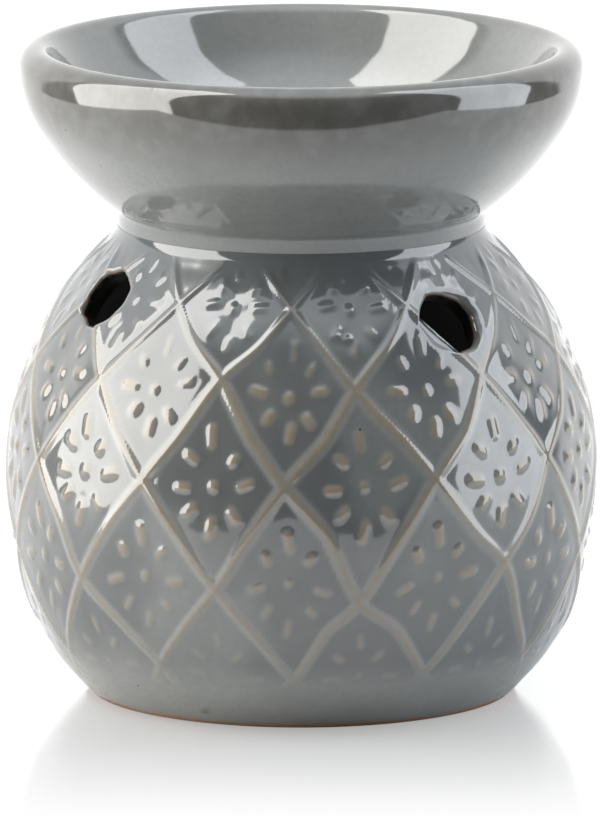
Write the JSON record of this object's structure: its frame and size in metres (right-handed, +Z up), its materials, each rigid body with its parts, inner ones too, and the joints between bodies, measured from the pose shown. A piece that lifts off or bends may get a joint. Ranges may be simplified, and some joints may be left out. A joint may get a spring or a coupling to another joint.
{
  "type": "essential oil burner",
  "caption": "Globe-shaped glazed oil burner: a flared bowl for water and oil on a hollow body with shoulder vents and a rear doorway, through which a tea light slides in to warm it.",
  "frame": {"origin": "middle of the foot, on the surface that the burner stands on", "axes": "+Z up, the plain front faces -Y, the doorway for the tea light faces +Y"},
  "size_m": [0.1, 0.0985, 0.1101],
  "materials": {
    "glaze": "glossy grey-blue glaze, thin and tan on raised edges",
    "cup_foil": "bright pressed aluminium",
    "wax": "white paraffin wax, slightly waxy sheen",
    "wick_cotton": "waxed cotton braid",
    "tab_tinplate": "thin tinplate"
  },
  "bodies": {
    "burner": {"burner_body": "glaze", "oil_bowl": "glaze"},
    "tealight": {"tealight_cup": "cup_foil", "tealight_wax": "wax", "tealight_wick": "wick_cotton", "wick_sustainer": "tab_tinplate"}
  },
  "joints": [
    {"name": "tealight_slide", "type": "slide", "parent": "burner", "child": "tealight", "axis": [0, 1, 0], "range_m": [0, 0.075]}
  ]
}
